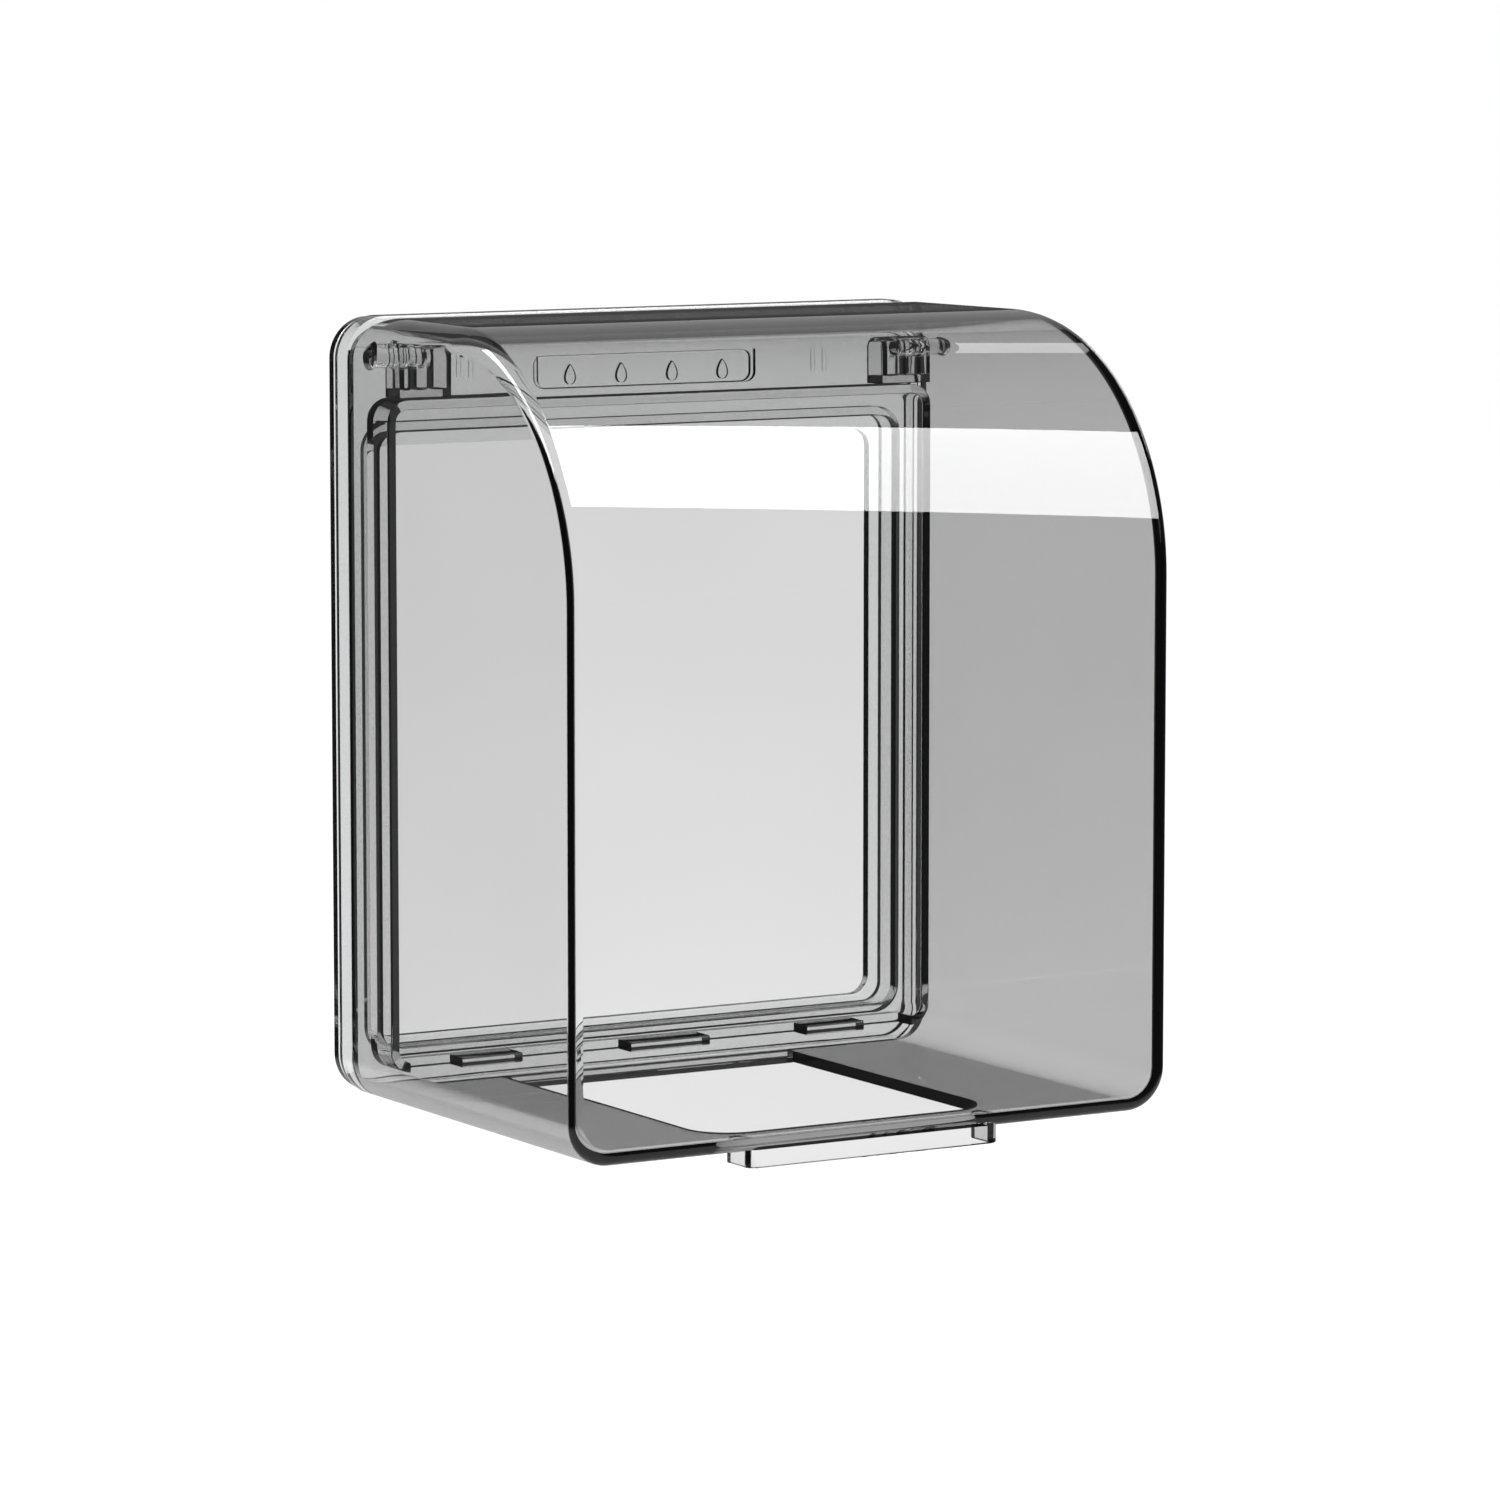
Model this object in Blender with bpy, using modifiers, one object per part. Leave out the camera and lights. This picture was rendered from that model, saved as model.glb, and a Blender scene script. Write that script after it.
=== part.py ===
"""Waterproof cover for a wall socket, in metres, with +Z up.

The wall is the plane Y = 0 and the cover stands on its -Y side. The origin is on the back of the
gasket, in the middle of its top strip. A frame with a collar sits on a gasket, and a clear lid
turns on two pins above the collar.
"""
import math

import bmesh
import bpy
from mathutils import Matrix, Vector

# Whole cover
WIDTH = 0.104
HEIGHT = 0.1205
CORNER_RADIUS = 0.0066
GAP = 0.0003

# Gasket on the wall
GASKET_THICKNESS = 0.0019
GASKET_INSET = 0.0003
GASKET_SIDE = 0.0082
GASKET_TOP = 0.0202
GASKET_BOTTOM = 0.0086
GASKET_CORNER = 0.0030

# Frame: rim, collar and ledge
RIM_DEPTH = 0.0050
PLATE_THICKNESS = 0.0020
RIM_WALL = 0.0019
COLLAR_HEIGHT = 0.0068
COLLAR_WALL = 0.0015
COLLAR_CLEARANCE = 0.0024
COLLAR_DROP = 0.0124
COLLAR_RISE = 0.0049
COLLAR_CORNER = 0.0035
LEDGE_RISE = 0.0010
LEDGE_SIDE = 0.0010
LEDGE_TOP = 0.0038
LEDGE_BOTTOM = 0.0012
LEDGE_CORNER = 0.0030
INNER_RIM_WALL = 0.0014

# Top strip of the frame
BAND_HEIGHT = 0.0050
BAND_STEP = 0.0008
RECESS_WIDTH = 0.0390
RECESS_HEIGHT = 0.0062
RECESS_DEPTH = 0.0008
RECESS_CORNER = 0.0018
STUD_COUNT = 4
STUD_PITCH = 0.0091
STUD_WIDTH = 0.0016
STUD_LENGTH = 0.0034
STUD_HEIGHT = 0.0007
STUD_DROP = 0.0006
RIB_OFFSET = 0.0310
RIB_PITCH = 0.0021
RIB_WIDTH = 0.0007
RIB_LENGTH = 0.0040

# Drain notches in the collar's bottom wall
INNER_NOTCH_START = 0.0071
INNER_NOTCH_LENGTH = 0.0179
OUTER_NOTCH_START = 0.0355
OUTER_NOTCH_LENGTH = 0.0090
NOTCH_DEPTH = 0.0042

# Hinge
HINGE_DROP = 0.0058
PIN_RADIUS = 0.0016
PIN_LENGTH = 0.0096
PIN_ENTRY = 0.0008
PIN_NOSE = 0.0012
BRACKET_HEAD = 0.0024
BRACKET_SIDE_GAP = 0.0036
BRACKET_FOOT = 0.0013
BRACKET_BAR = 0.0010
POST_WIDTHS = (0.0008, 0.0011, 0.0012, 0.0009)
POST_GAPS = (0.0010, 0.0017, 0.0022)

# Lid
LID_DEPTH = 0.0688
LID_WALL = 0.0018
ROLL_RADIUS = 0.0390
TAIL_DROP = 0.0022
FRONT_EDGE_RADIUS = 0.0016
EDGE_ROUND = 0.0006

# Cable way and finger lip
CUT_WIDTH = 0.0500
CUT_FRONT = 0.0074
CUT_CORNER = 0.0070
SILL_DEPTH = 0.0028
SILL_THICKNESS = 0.0018
LIP_WIDTH = 0.0440
LIP_DEPTH = 0.0072
LIP_DROP = 0.0026
LIP_WALL = 0.0015
LIP_CORNER = 0.0020
LIP_ROOT = 0.0008

# Fineness of the curved surfaces, and how far a cutter runs past what it cuts
ARC_STEP = math.radians(9.0)
ROLL_STEP = math.radians(4.5)
OVERRUN = 0.0030

# Places worked out from the sizes
HALF_WIDTH = WIDTH / 2
TOP = GASKET_TOP / 2
BOTTOM = TOP - HEIGHT
FRAME_BACK = -(GASKET_THICKNESS + GAP)
RIM_FRONT = FRAME_BACK - RIM_DEPTH
PLATE_BACK = RIM_FRONT + PLATE_THICKNESS
COLLAR_FRONT = RIM_FRONT - COLLAR_HEIGHT
COLLAR_SIDE = LID_WALL + COLLAR_CLEARANCE
COLLAR_TOP = TOP - COLLAR_DROP
COLLAR_BOTTOM = BOTTOM + COLLAR_RISE
LEDGE_FRONT = RIM_FRONT - LEDGE_RISE
AXIS_Y = RIM_FRONT - GAP - HINGE_DROP
AXIS_Z = TOP - HINGE_DROP
LID_BACK = AXIS_Y + HINGE_DROP
LID_FRONT = LID_BACK - LID_DEPTH
BORE_RADIUS = PIN_RADIUS + GAP

COVER_NAME = "waterproof_socket_cover"


def clear_scene():
    """Remove every object of the open scene."""
    for obj in list(bpy.data.objects):
        bpy.data.objects.remove(obj, do_unlink=True)


def new_collection(name):
    """Make a collection in the scene and return it."""
    collection = bpy.data.collections.new(name)
    bpy.context.scene.collection.children.link(collection)
    return collection


def make_material(name, color, roughness, transmission=0.0):
    """Make a Principled material."""
    material = bpy.data.materials.new(name)
    material.use_nodes = True
    shader = material.node_tree.nodes["Principled BSDF"]
    shader.inputs["Base Color"].default_value = (*color, 1.0)
    shader.inputs["Roughness"].default_value = roughness
    shader.inputs["Metallic"].default_value = 0.0
    shader.inputs["Transmission Weight"].default_value = transmission
    material.diffuse_color = (*color, 1.0)
    return material


def arc(center, radius, start, end, step=ARC_STEP):
    """Return points of an arc between two angles, both ends included."""
    count = max(2, math.ceil(abs(end - start) / step))
    turns = [start + (end - start) * i / count for i in range(count + 1)]
    return [(center[0] + radius * math.cos(t), center[1] + radius * math.sin(t)) for t in turns]


def rounded_box(left, right, low, high, radius):
    """Return a closed outline with four rounded corners, counter-clockwise from the low right one."""
    quarter = math.pi / 2
    corners = ((right - radius, low + radius, -1), (right - radius, high - radius, 0),
               (left + radius, high - radius, 1), (left + radius, low + radius, 2))
    points = []
    for x, y, turn in corners:
        points += arc((x, y), radius, turn * quarter, (turn + 1) * quarter)
    return points


FACING_FRONT = Matrix(((1, 0, 0), (0, 0, -1), (0, 1, 0)))
FACING_SIDE = Matrix(((0, 0, 1), (1, 0, 0), (0, 1, 0)))
FACING_UP = Matrix.Identity(3)


def outline_solid(name, outlines, facing, start, end, collection):
    """Extrude closed outlines between two distances along the direction that they face.

    An outline facing the front is drawn in X and Z and runs along Y, one facing the side is
    drawn in Y and Z and runs along X, and one facing up is drawn in X and Y and runs along Z.
    """
    curve = bpy.data.curves.new(name, "CURVE")
    curve.dimensions = "2D"
    curve.fill_mode = "BOTH"
    curve.extrude = abs(end - start) / 2
    for points in outlines:
        spline = curve.splines.new("POLY")
        spline.points.add(len(points) - 1)
        for point, (u, v) in zip(spline.points, points):
            point.co = (u, v, 0.0, 1.0)
        spline.use_cyclic_u = True
    drawn = bpy.data.objects.new(name + "_outline", curve)
    bpy.context.scene.collection.objects.link(drawn)
    bpy.context.view_layer.update()
    mesh = bpy.data.meshes.new_from_object(drawn.evaluated_get(bpy.context.evaluated_depsgraph_get()))
    bpy.data.objects.remove(drawn)
    mesh.name = name
    along = facing @ Vector((0, 0, 1))
    axis_place = (start + end) / 2 * (-1 if facing is FACING_FRONT else 1)
    mesh.transform(Matrix.Translation(along * axis_place) @ facing.to_4x4())
    weld(mesh)
    solid = bpy.data.objects.new(name, mesh)
    collection.objects.link(solid)
    return solid


def weld(mesh):
    """Join the doubled points of a mesh and turn its faces outwards."""
    work = bmesh.new()
    work.from_mesh(mesh)
    bmesh.ops.remove_doubles(work, verts=work.verts, dist=1e-6)
    bmesh.ops.recalc_face_normals(work, faces=work.faces)
    work.to_mesh(mesh)
    work.free()


def block(name, low, high, collection):
    """Make a box between two opposite corners."""
    size = Vector(high) - Vector(low)
    middle = (Vector(high) + Vector(low)) / 2
    work = bmesh.new()
    bmesh.ops.create_cube(work, size=1.0, matrix=Matrix.Translation(middle) @ Matrix.Diagonal((*size, 1.0)))
    mesh = bpy.data.meshes.new(name)
    work.to_mesh(mesh)
    work.free()
    solid = bpy.data.objects.new(name, mesh)
    collection.objects.link(solid)
    return solid


def cross_rod(name, radius, start, end, collection):
    """Make a rod along X on the hinge axis."""
    work = bmesh.new()
    turn = Matrix.Rotation(math.pi / 2, 4, "Y")
    place = Matrix.Translation(((start + end) / 2, AXIS_Y, AXIS_Z))
    bmesh.ops.create_cone(work, cap_ends=True, segments=32, radius1=radius, radius2=radius,
                          depth=abs(end - start), matrix=place @ turn)
    mesh = bpy.data.meshes.new(name)
    work.to_mesh(mesh)
    work.free()
    solid = bpy.data.objects.new(name, mesh)
    collection.objects.link(solid)
    return solid


def combine(target, tool, operation):
    """Add an exact Boolean to an object, and show its tool as a wire."""
    step = target.modifiers.new(tool.name, "BOOLEAN")
    step.operation = operation
    step.solver = "EXACT"
    step.object = tool
    tool.display_type = "WIRE"
    tool.hide_render = True


def frame_ring(inset_side, inset_top, inset_bottom, radius):
    """Return the rounded outline that lies inside the cover's edge by the given insets."""
    return rounded_box(-HALF_WIDTH + inset_side, HALF_WIDTH - inset_side,
                       BOTTOM + inset_bottom, TOP - inset_top, radius)


def collar_ring(inset):
    """Return the collar's outline, moved inwards by an inset."""
    radius = max(COLLAR_CORNER - inset, COLLAR_CORNER / 4)
    return frame_ring(COLLAR_SIDE + inset, COLLAR_DROP + inset, COLLAR_RISE + inset, radius)


def build_gasket(parts, material):
    """Make the flat ring between the frame and the wall."""
    outer = frame_ring(GASKET_INSET, GASKET_INSET, GASKET_INSET, CORNER_RADIUS - GASKET_INSET)
    inner = frame_ring(GASKET_SIDE, GASKET_TOP, GASKET_BOTTOM, GASKET_CORNER)
    gasket = outline_solid("wall_gasket", (outer, inner), FACING_FRONT, 0.0, -GASKET_THICKNESS, parts)
    gasket.data.materials.append(material)
    return gasket


def way_ring(wall):
    """Return the outline of the way through the frame, moved outwards by a wall."""
    inside = COLLAR_WALL - wall
    return frame_ring(COLLAR_SIDE + inside + LEDGE_SIDE, COLLAR_DROP + inside + LEDGE_TOP,
                      COLLAR_RISE + inside + LEDGE_BOTTOM, LEDGE_CORNER + wall)


def add_frame_hollows(frame, cutters):
    """Cut the way through, the collar's pocket and the channel in the back."""
    way = outline_solid("way_through", (way_ring(0.0),), FACING_FRONT,
                        FRAME_BACK + OVERRUN, COLLAR_FRONT - OVERRUN, cutters)
    pocket = outline_solid("collar_pocket", (collar_ring(COLLAR_WALL),), FACING_FRONT,
                           LEDGE_FRONT, COLLAR_FRONT - OVERRUN, cutters)
    rim = frame_ring(RIM_WALL, RIM_WALL, RIM_WALL, CORNER_RADIUS - RIM_WALL)
    channel = outline_solid("back_channel", (rim, way_ring(INNER_RIM_WALL)), FACING_FRONT,
                            FRAME_BACK + OVERRUN, PLATE_BACK, cutters)
    for cutter in (way, pocket, channel):
        combine(frame, cutter, "DIFFERENCE")


def add_drain_notches(frame, cutters):
    """Cut the drain notches into the front edge of the collar's bottom wall."""
    spans = ((INNER_NOTCH_START, INNER_NOTCH_LENGTH), (OUTER_NOTCH_START, OUTER_NOTCH_LENGTH))
    for number, (start, length) in enumerate(spans):
        for side in (-1, 1):
            near, far = sorted((side * start, side * (start + length)))
            notch = block(f"drain_notch_{number}_{side}", (near, COLLAR_FRONT - OVERRUN, COLLAR_BOTTOM - OVERRUN),
                          (far, COLLAR_FRONT + NOTCH_DEPTH, COLLAR_BOTTOM + COLLAR_WALL + GAP), cutters)
            combine(frame, notch, "DIFFERENCE")


def stud_outline(center_x, center_z):
    """Return a teardrop, round below and pointed above."""
    radius = STUD_WIDTH / 2
    middle = (center_x, center_z - STUD_LENGTH / 2 + radius)
    lean = math.asin(radius / (STUD_LENGTH - radius))
    return arc(middle, radius, math.pi - lean, 2 * math.pi + lean, 3 * ARC_STEP) + [
        (center_x, center_z + STUD_LENGTH / 2)]


def add_top_strip(frame, cutters):
    """Step the top band back, sink the recess and stand the studs and ribs on the strip."""
    band_low = TOP - BAND_HEIGHT
    band = block("top_band", (-HALF_WIDTH - OVERRUN, RIM_FRONT - OVERRUN, band_low),
                 (HALF_WIDTH + OVERRUN, RIM_FRONT + BAND_STEP, TOP + OVERRUN), cutters)
    combine(frame, band, "DIFFERENCE")
    recess_low = band_low - RECESS_HEIGHT
    recess_ring = rounded_box(-RECESS_WIDTH / 2, RECESS_WIDTH / 2, recess_low,
                              band_low + 2 * RECESS_CORNER, RECESS_CORNER)
    recess = outline_solid("stud_recess", (recess_ring,), FACING_FRONT,
                           RIM_FRONT + RECESS_DEPTH, RIM_FRONT - OVERRUN, cutters)
    combine(frame, recess, "DIFFERENCE")
    floor = RIM_FRONT + RECESS_DEPTH
    middle_z = (band_low + recess_low) / 2 - STUD_DROP
    studs = [stud_outline((i - (STUD_COUNT - 1) / 2) * STUD_PITCH, middle_z) for i in range(STUD_COUNT)]
    stud_row = outline_solid("stud_row", studs, FACING_FRONT, floor + PLATE_THICKNESS / 4,
                             floor - STUD_HEIGHT, cutters)
    combine(frame, stud_row, "UNION")


def add_ribs(frame, tools):
    """Stand two pairs of short ribs on the top strip."""
    high = TOP - BAND_HEIGHT - RIB_WIDTH
    for side in (-1, 1):
        for turn in (-1, 1):
            middle = side * RIB_OFFSET + turn * RIB_PITCH / 2
            rib = block(f"strip_rib_{side}_{turn}", (middle - RIB_WIDTH / 2, RIM_FRONT - GAP / 2, high - RIB_LENGTH),
                        (middle + RIB_WIDTH / 2, RIM_FRONT + PLATE_THICKNESS / 4, high), tools)
            combine(frame, rib, "UNION")


def build_frame(parts, cutters, material):
    """Make the moulded frame with its rim, collar, ledge, top strip and cable sill."""
    rim = frame_ring(0.0, 0.0, 0.0, CORNER_RADIUS)
    frame = outline_solid("back_frame", (rim,), FACING_FRONT, FRAME_BACK, RIM_FRONT, parts)
    collar = outline_solid("collar", (collar_ring(0.0),), FACING_FRONT,
                           PLATE_BACK - GAP, COLLAR_FRONT, cutters)
    combine(frame, collar, "UNION")
    sill_half = CUT_WIDTH / 2 - GAP
    sill = block("cable_sill", (-sill_half, RIM_FRONT - SILL_DEPTH, BOTTOM),
                 (sill_half, PLATE_BACK, BOTTOM + SILL_THICKNESS), cutters)
    combine(frame, sill, "UNION")
    add_frame_hollows(frame, cutters)
    add_drain_notches(frame, cutters)
    add_top_strip(frame, cutters)
    add_ribs(frame, cutters)
    frame.data.materials.append(material)
    return frame


def bracket_side_outline():
    """Return the bracket seen from the side: a head round the pin on a straight foot."""
    foot = COLLAR_TOP + GAP
    rear, front = AXIS_Y + BRACKET_HEAD, AXIS_Y - BRACKET_HEAD
    return [(front, foot), (rear, foot)] + arc((AXIS_Y, AXIS_Z), BRACKET_HEAD, 0.0, math.pi)


def build_bracket(name, side, parts, cutters, material):
    """Make one slotted bracket: a foot, four posts and a top bar, bored for the pin."""
    bracket_front = AXIS_Y - BRACKET_HEAD
    outer = HALF_WIDTH - LID_WALL - BRACKET_SIDE_GAP
    inner = outer - sum(POST_WIDTHS) - sum(POST_GAPS)
    low, high = sorted((side * outer, side * inner))
    bracket = outline_solid(name, (bracket_side_outline(),), FACING_SIDE, low, high, parts)
    edge = outer
    for number, (post, space) in enumerate(zip(POST_WIDTHS, POST_GAPS)):
        edge -= post
        near, far = sorted((side * edge, side * (edge - space)))
        edge -= space
        slot = block(f"{name}_slot_{number}", (near, bracket_front - OVERRUN, COLLAR_TOP + GAP + BRACKET_FOOT),
                     (far, AXIS_Y + BRACKET_HEAD + OVERRUN, AXIS_Z + BRACKET_HEAD - BRACKET_BAR), cutters)
        combine(bracket, slot, "DIFFERENCE")
    bore_end = outer - PIN_LENGTH + BRACKET_SIDE_GAP + PIN_ENTRY - GAP
    bore = cross_rod(f"{name}_bore", BORE_RADIUS, side * (outer + OVERRUN), side * bore_end, cutters)
    combine(bracket, bore, "DIFFERENCE")
    bracket.data.materials.append(material)
    return bracket


def build_pin(name, side, parts, material):
    """Turn one hinge pin with a rounded nose, its origin on the hinge axis."""
    nose = arc((PIN_RADIUS - PIN_NOSE, PIN_LENGTH - PIN_NOSE), PIN_NOSE, math.pi / 2, 0.0, 2 * ARC_STEP)
    profile = [(0.0, PIN_LENGTH)] + nose + [(PIN_RADIUS, 0.0), (0.0, 0.0)]
    mesh = bpy.data.meshes.new(name)
    work = bmesh.new()
    corners = [work.verts.new((radius, 0.0, height)) for radius, height in profile]
    for first, second in zip(corners, corners[1:]):
        work.edges.new((first, second))
    work.to_mesh(mesh)
    work.free()
    pin = bpy.data.objects.new(name, mesh)
    parts.objects.link(pin)
    turn = pin.modifiers.new("turned", "SCREW")
    turn.axis = "Z"
    turn.steps = 32
    turn.render_steps = 32
    turn.use_merge_vertices = True
    turn.merge_threshold = 0.00001
    reach = HALF_WIDTH - LID_WALL + PIN_ENTRY
    pin.location = (side * (reach - PIN_LENGTH), AXIS_Y, AXIS_Z)
    pin.rotation_euler = (0.0, side * math.pi / 2, 0.0)
    mesh.materials.append(material)
    return pin


def lid_side_outline(inset):
    """Return the lid seen from the side, moved inwards by an inset."""
    front = LID_FRONT + inset
    low = BOTTOM + inset
    edge = max(FRONT_EDGE_RADIUS - inset, FRONT_EDGE_RADIUS / 4)
    quarter = math.pi / 2
    rear_roll = arc((AXIS_Y, AXIS_Z), HINGE_DROP - inset, 0.0, quarter)
    front_roll = arc((LID_FRONT + ROLL_RADIUS, TOP - ROLL_RADIUS), ROLL_RADIUS - inset, quarter, 2 * quarter,
                     ROLL_STEP)
    toe = arc((front + edge, low + edge), edge, 2 * quarter, 3 * quarter, 2 * ARC_STEP)
    return rear_roll + front_roll + toe + [(AXIS_Y + HINGE_DROP - inset, low)]


def lid_front_outline(inset):
    """Return the lid seen from the front, moved inwards by an inset."""
    return frame_ring(inset, inset, inset, CORNER_RADIUS - inset)


def lid_body(name, inset, half_width, collection, cutters):
    """Cross the lid's side outline with its front outline, both moved inwards by an inset."""
    body = outline_solid(name, (lid_side_outline(inset),), FACING_SIDE, -half_width, half_width, collection)
    crossing = outline_solid(name + "_front_view", (lid_front_outline(inset),), FACING_FRONT,
                             LID_BACK + OVERRUN, LID_FRONT - OVERRUN, cutters)
    combine(body, crossing, "INTERSECT")
    return body


def cut_outline():
    """Return the cable cut-out seen from above, open to the back."""
    half = CUT_WIDTH / 2
    front = LID_FRONT + CUT_FRONT
    back = LID_BACK + OVERRUN
    quarter = math.pi / 2
    left = arc((-half + CUT_CORNER, front + CUT_CORNER), CUT_CORNER, 2 * quarter, 3 * quarter)
    right = arc((half - CUT_CORNER, front + CUT_CORNER), CUT_CORNER, 3 * quarter, 4 * quarter)
    return [(half, back), (-half, back)] + left + right


def lip_outline():
    """Return the finger lip seen from above: a low wall on three sides."""
    half = LIP_WIDTH / 2
    front = LID_FRONT + GAP
    back = front + LIP_DEPTH - 2 * GAP
    quarter = math.pi / 2
    outer_left = arc((-half + LIP_CORNER, front + LIP_CORNER), LIP_CORNER, 2 * quarter, 3 * quarter)
    outer_right = arc((half - LIP_CORNER, front + LIP_CORNER), LIP_CORNER, 3 * quarter, 4 * quarter)
    inner_radius = LIP_CORNER - LIP_WALL
    inner_right = arc((half - LIP_CORNER, front + LIP_CORNER), inner_radius, 4 * quarter, 3 * quarter)
    inner_left = arc((-half + LIP_CORNER, front + LIP_CORNER), inner_radius, 3 * quarter, 2 * quarter)
    outer_run = [(-half, back)] + outer_left + outer_right + [(half, back)]
    inner_run = [(half - LIP_WALL, back)] + inner_right + inner_left + [(-half + LIP_WALL, back)]
    return outer_run + inner_run


def build_lid(parts, cutters, material):
    """Make the one-piece lid: a rolled box, open behind, with its cable way, lip and pin sockets."""
    lid = lid_body("lid", 0.0, HALF_WIDTH + OVERRUN, parts, cutters)
    rounding = lid.modifiers.new("edge_round", "BEVEL")
    rounding.width = EDGE_ROUND
    rounding.segments = 2
    rounding.limit_method = "ANGLE"
    rounding.angle_limit = math.radians(50)
    lip = outline_solid("finger_lip", (lip_outline(),), FACING_UP,
                        BOTTOM - LIP_DROP, BOTTOM + LIP_ROOT, cutters)
    combine(lid, lip, "UNION")
    hollow = lid_body("lid_hollow", LID_WALL, HALF_WIDTH, cutters, cutters)
    combine(lid, hollow, "DIFFERENCE")
    mouth_ring = rounded_box(-HALF_WIDTH + LID_WALL, HALF_WIDTH - LID_WALL, BOTTOM + LID_WALL,
                             TOP - TAIL_DROP, CORNER_RADIUS - LID_WALL)
    mouth = outline_solid("lid_mouth", (mouth_ring,), FACING_FRONT, LID_BACK + OVERRUN, AXIS_Y, cutters)
    combine(lid, mouth, "DIFFERENCE")
    cut = outline_solid("cable_cut", (cut_outline(),), FACING_UP,
                        BOTTOM - LIP_DROP - OVERRUN, BOTTOM + LID_WALL + OVERRUN, cutters)
    combine(lid, cut, "DIFFERENCE")
    for side in (-1, 1):
        inside = HALF_WIDTH - LID_WALL
        socket = cross_rod(f"pin_socket_{side}", BORE_RADIUS, side * (inside - OVERRUN),
                           side * (inside + PIN_ENTRY + GAP), cutters)
        combine(lid, socket, "DIFFERENCE")
    shift_origin(lid, Vector((0.0, AXIS_Y, AXIS_Z)))
    lid.data.materials.append(material)
    return lid


def shift_origin(obj, place):
    """Move an object's origin without moving its shape."""
    obj.data.transform(Matrix.Translation(-place))
    obj.location = place


def main():
    """Build the whole cover."""
    clear_scene()
    parts = new_collection(COVER_NAME)
    cutters = new_collection("cutters")
    cutters.hide_render = True
    smoke = make_material("smoke_clear_plastic", (0.62, 0.63, 0.64), 0.04, 1.0)
    base = make_material("light_smoke_plastic", (0.70, 0.71, 0.72), 0.06, 1.0)
    rubber = make_material("grey_silicone", (0.30, 0.31, 0.32), 0.45)
    metal = make_material("dark_pin_plastic", (0.12, 0.12, 0.13), 0.25)
    bracket_plastic = make_material("bracket_smoke_plastic", (0.45, 0.46, 0.47), 0.12, 0.8)
    build_gasket(parts, rubber)
    build_frame(parts, cutters, base)
    for label, side in (("left", -1), ("right", 1)):
        build_bracket(f"hinge_bracket_{label}", side, parts, cutters, bracket_plastic)
        build_pin(f"hinge_pin_{label}", side, parts, metal)
    build_lid(parts, cutters, smoke)


if __name__ == "__main__":
    main()
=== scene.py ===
import logging
import math
from collections.abc import Callable, Iterable, Mapping, Sequence
from dataclasses import dataclass
from enum import Enum
from functools import partial

import bmesh
import bpy
from bpy.types import Material, Mesh, Node, NodeSocket, NodeTree, Object
from mathutils import Matrix, Vector


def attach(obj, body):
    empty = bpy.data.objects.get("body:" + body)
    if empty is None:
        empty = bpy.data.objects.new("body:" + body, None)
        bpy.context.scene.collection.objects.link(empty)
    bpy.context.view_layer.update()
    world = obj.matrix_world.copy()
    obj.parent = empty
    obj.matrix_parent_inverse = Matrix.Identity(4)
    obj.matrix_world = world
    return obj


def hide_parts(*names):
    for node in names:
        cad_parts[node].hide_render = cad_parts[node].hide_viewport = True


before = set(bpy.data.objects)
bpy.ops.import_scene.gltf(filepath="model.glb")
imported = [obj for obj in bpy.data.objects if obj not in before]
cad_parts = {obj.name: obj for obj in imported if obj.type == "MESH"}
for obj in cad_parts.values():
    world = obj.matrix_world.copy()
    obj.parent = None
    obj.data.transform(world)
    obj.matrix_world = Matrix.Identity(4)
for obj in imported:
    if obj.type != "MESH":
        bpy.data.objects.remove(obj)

LOG = logging.getLogger("socket_cover")
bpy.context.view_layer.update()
QUARTER = math.pi / 2

Point2 = tuple[float, float]
Point3 = tuple[float, float, float]


class Facing(Enum):
    """The way in which a flat outline is pushed out: the turn from its plane to the cover's frame."""

    FRONT = ((1, 0, 0), (0, 0, -1), (0, 1, 0))
    SIDE = ((0, 0, 1), (1, 0, 0), (0, 1, 0))
    UP = ((1, 0, 0), (0, 1, 0), (0, 0, 1))

    def sign(self) -> int:
        """Return which way the outline's depth runs along its axis."""
        return -1 if self is Facing.FRONT else 1


class Join(Enum):
    """How a tool acts on the solid that it meets."""

    ADD = "UNION"
    CUT = "DIFFERENCE"


class Side(Enum):
    """The two hinge sides of the cover, seen from the front."""

    LEFT = -1
    RIGHT = 1

    def label(self) -> str:
        """Return the side's name as the nodes spell it."""
        return self.name.lower()


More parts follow.
